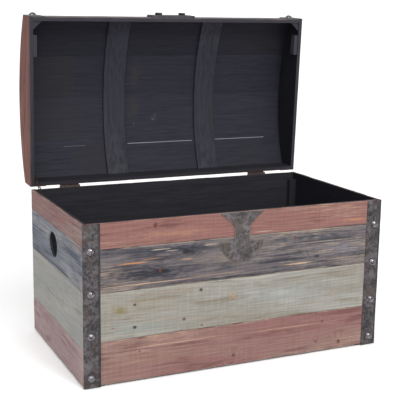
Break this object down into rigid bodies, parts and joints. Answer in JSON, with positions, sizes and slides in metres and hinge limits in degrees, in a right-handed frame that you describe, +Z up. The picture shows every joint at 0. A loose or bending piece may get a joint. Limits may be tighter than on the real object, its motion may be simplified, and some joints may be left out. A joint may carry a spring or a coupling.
{
  "type": "wooden storage chest",
  "caption": "Wooden storage chest with a domed lid hinged at the back, iron corner straps with studs, a lock plate and a hand hole in each end.",
  "frame": {"origin": "on the floor, under the middle of the whole outline with the lid open, which is 49.5 mm behind the middle of the box", "axes": "+X along the front to the right as you face it, +Y to the back where the hinges are, +Z up"},
  "size_m": [0.76, 0.5361, 0.808],
  "materials": {
    "plank_red": "worn red stain over bare softwood",
    "plank_slate": "worn dark blue-grey stain over bare softwood",
    "plank_sage": "worn pale grey-green stain over bare softwood",
    "plank_rust": "worn red stain over bare softwood, knotty",
    "floor_wood": "black stained board",
    "batten_wood": "black stained softwood",
    "foot_pad": "dark stained pad",
    "strap_iron": "dark hammered iron with brown mottling",
    "stud_steel": "worn polished dome heads",
    "lock_iron": "dark mottled iron",
    "rivet_steel": "dull steel",
    "hinge_iron": "brown-black iron",
    "screw_steel": "dull steel",
    "chain_bronze": "dull bronze-coloured wire",
    "lid_red": "worn red stain outside, black inside",
    "lid_sage": "worn pale grey-green stain outside, black inside",
    "lid_slate": "worn blue-grey stain outside, black inside",
    "lid_end_red": "worn red stain outside, black inside",
    "lid_black": "black stained softwood",
    "block_grey": "grey-black stained block",
    "cover_iron": "dark mottled iron",
    "bolt_steel": "dark worn steel"
  },
  "bodies": {
    "box": {"front_plank_1": "plank_red", "front_plank_2": "plank_slate", "front_plank_3": "plank_sage", "front_plank_4": "plank_rust", "back_plank_1": "plank_red", "back_plank_2": "plank_slate", "back_plank_3": "plank_sage", "back_plank_4": "plank_rust", "left_plank_1": "plank_red", "left_plank_2": "plank_slate", "left_plank_3": "plank_sage", "left_plank_4": "plank_rust", "right_plank_1": "plank_red", "right_plank_2": "plank_slate", "right_plank_3": "plank_sage", "right_plank_4": "plank_rust", "floor_board": "floor_wood", "corner_battens": "batten_wood", "feet": "foot_pad", "front_strip_left": "strap_iron", "front_strip_right": "strap_iron", "front_strip_studs": "stud_steel", "lock_plate": "lock_iron", "lock_plate_rivets": "rivet_steel", "hinge_leaves_box": "hinge_iron", "hinge_screws_box": "screw_steel", "hinge_pins": "hinge_iron", "stay_screw_box": "chain_bronze", "stay_chain": "chain_bronze"},
    "lid": {"lid_front_board": "lid_slate", "lid_rear_board": "lid_red", "lid_end_left": "lid_end_red", "lid_end_right": "lid_end_red", "lid_stave_1": "lid_red", "lid_stave_2": "lid_sage", "lid_stave_3": "lid_slate", "lid_stave_4": "lid_red", "lid_rib_left": "lid_black", "lid_rib_right": "lid_black", "lid_strap_left": "strap_iron", "lid_strap_right": "strap_iron", "lid_strap_studs": "stud_steel", "lid_cover_plate": "cover_iron", "lid_cover_bolts": "bolt_steel", "lid_gussets": "lid_black", "lid_end_blocks": "block_grey", "hinge_leaves_lid": "hinge_iron", "hinge_screws_lid": "screw_steel", "stay_screw_lid": "chain_bronze"}
  },
  "joints": [
    {"name": "lid_hinge", "type": "hinge", "parent": "box", "child": "lid", "pos_m": [0, 0.1655, 0.37025], "axis": [1, 0, 0], "range_deg": [0, 87.3], "deforming": ["stay_chain"]}
  ]
}
